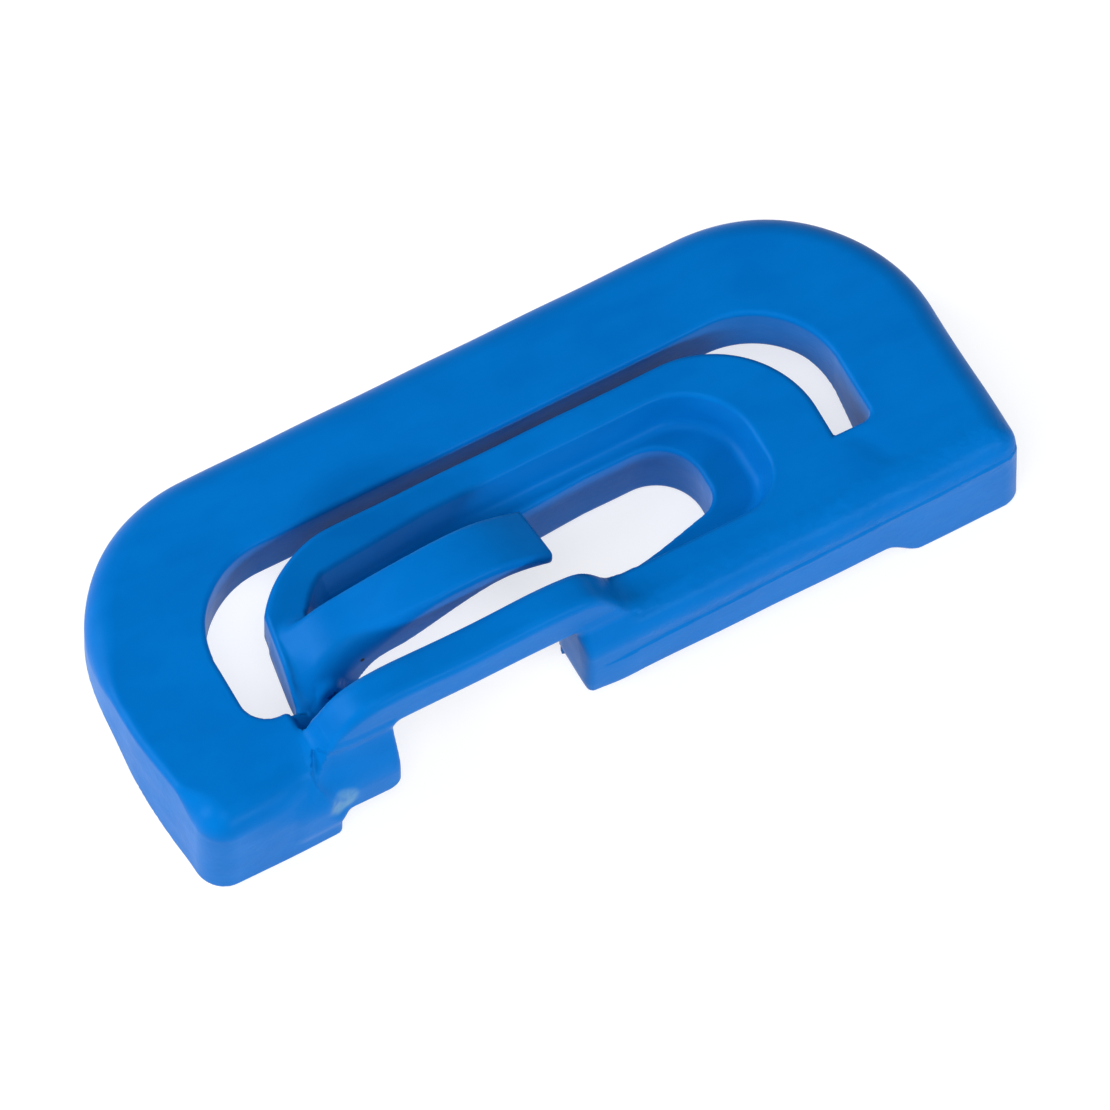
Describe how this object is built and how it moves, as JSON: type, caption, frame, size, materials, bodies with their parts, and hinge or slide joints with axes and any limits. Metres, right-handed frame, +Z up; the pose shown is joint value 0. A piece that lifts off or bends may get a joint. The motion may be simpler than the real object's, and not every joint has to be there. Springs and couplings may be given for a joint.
{
  "type": "clothespin",
  "caption": "One-piece moulded laundry clip: a flat rounded frame around a flexing middle loop with a stepped jaw, a raised bar and an arched clamping finger.",
  "frame": {"origin": "centre of the bounding box's underside: midway along the length and the depth, on the plane of the feet", "axes": "+X along the length towards the front plate's end, +Y from the open front edge to the back rail, +Z up out of the flat top"},
  "size_m": [0.05, 0.0198, 0.0104],
  "materials": {
    "blue_plastic": "moulded polypropylene, semi-gloss, slightly translucent"
  },
  "bodies": {
    "frame": {"back_rail": "blue_plastic", "left_corner": "blue_plastic", "right_corner": "blue_plastic", "left_leg": "blue_plastic", "right_leg": "blue_plastic", "left_foot": "blue_plastic", "right_foot": "blue_plastic", "front_plate": "blue_plastic", "bar_anchor": "blue_plastic", "bridge_bar": "blue_plastic"},
    "loop": {"loop_back": "blue_plastic", "loop_right_bend": "blue_plastic", "loop_left_bend": "blue_plastic", "jaw_ledge": "blue_plastic", "finger_root": "blue_plastic"},
    "finger": {"clamp_finger": "blue_plastic"}
  },
  "joints": [
    {"name": "loop_flex", "type": "hinge", "parent": "frame", "child": "loop", "pos_m": [0, -0.0057, 0.0069], "axis": [1, 0, 0], "range_deg": [-3, 9], "stiffness_Nm_per_rad": 0.1},
    {"name": "finger_flex", "type": "hinge", "parent": "loop", "child": "finger", "pos_m": [-0.01295, -0.00325, 0.00735], "axis": [0, -1, 0], "range_deg": [-8, 12], "stiffness_Nm_per_rad": 0.05}
  ]
}
